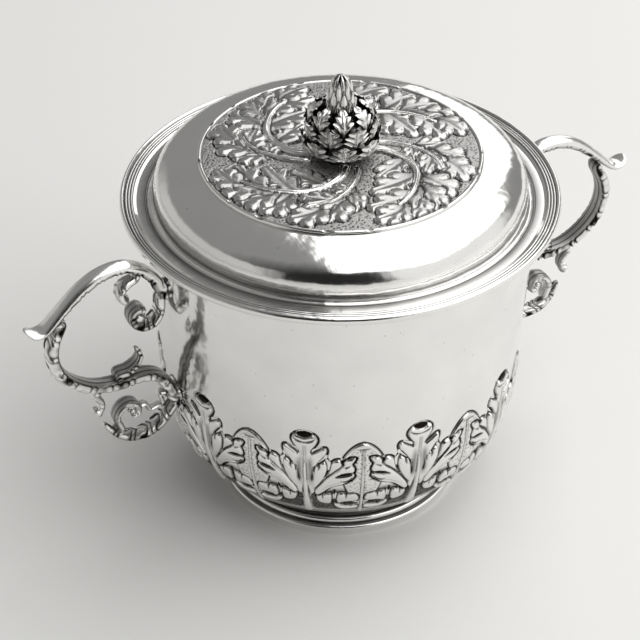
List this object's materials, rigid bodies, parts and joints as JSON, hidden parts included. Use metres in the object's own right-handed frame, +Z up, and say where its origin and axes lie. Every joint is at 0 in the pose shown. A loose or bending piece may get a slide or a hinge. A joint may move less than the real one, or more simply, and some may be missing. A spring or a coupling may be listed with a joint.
{
  "type": "caudle cup",
  "caption": "Handled silver caudle cup: flared round body with a chased leaf band, moulded foot, leafy scroll handles and a lift-off domed cover with a bud finial.",
  "frame": {"origin": "centre of the foot's underside, on the axis of the cup", "axes": "+X from the axis towards the right handle, the one further from the picture's camera, +Z up the axis towards the finial, +Y away from the picture's camera"},
  "size_m": [0.2504, 0.16, 0.1738],
  "materials": {
    "polished_silver": "polished",
    "chased_silver": "chased, with a matted ground",
    "cast_silver": "cast and chased, polished on its high parts"
  },
  "bodies": {
    "cup": {"cup_body": "polished_silver", "foot_ring": "polished_silver", "left_upper_scroll": "polished_silver", "left_upper_volute": "cast_silver", "left_upper_leaf": "cast_silver", "left_lower_scroll": "cast_silver", "left_leaf_sprig": "cast_silver", "left_drop_curl": "cast_silver", "left_base_leaf": "cast_silver", "left_base_volute": "cast_silver", "left_base_tendril": "cast_silver", "right_upper_scroll": "polished_silver", "right_upper_volute": "cast_silver", "right_upper_leaf": "cast_silver", "right_lower_scroll": "cast_silver", "right_leaf_sprig": "cast_silver", "right_drop_curl": "cast_silver", "right_base_leaf": "cast_silver", "right_base_volute": "cast_silver", "right_base_tendril": "cast_silver"},
    "cover": {"cover_dome": "polished_silver", "cover_rim": "polished_silver", "cover_bezel": "polished_silver", "cover_rosette": "chased_silver", "finial_calyx": "cast_silver", "finial_lower_leaves": "cast_silver", "finial_upper_leaves": "cast_silver", "finial_cone": "cast_silver", "finial_stud": "cast_silver", "finial_nut": "cast_silver"}
  },
  "joints": [
    {"name": "cover_lift", "type": "slide", "parent": "cup", "child": "cover", "axis": [0, 0, 1], "range_m": [0, 0.08]}
  ]
}
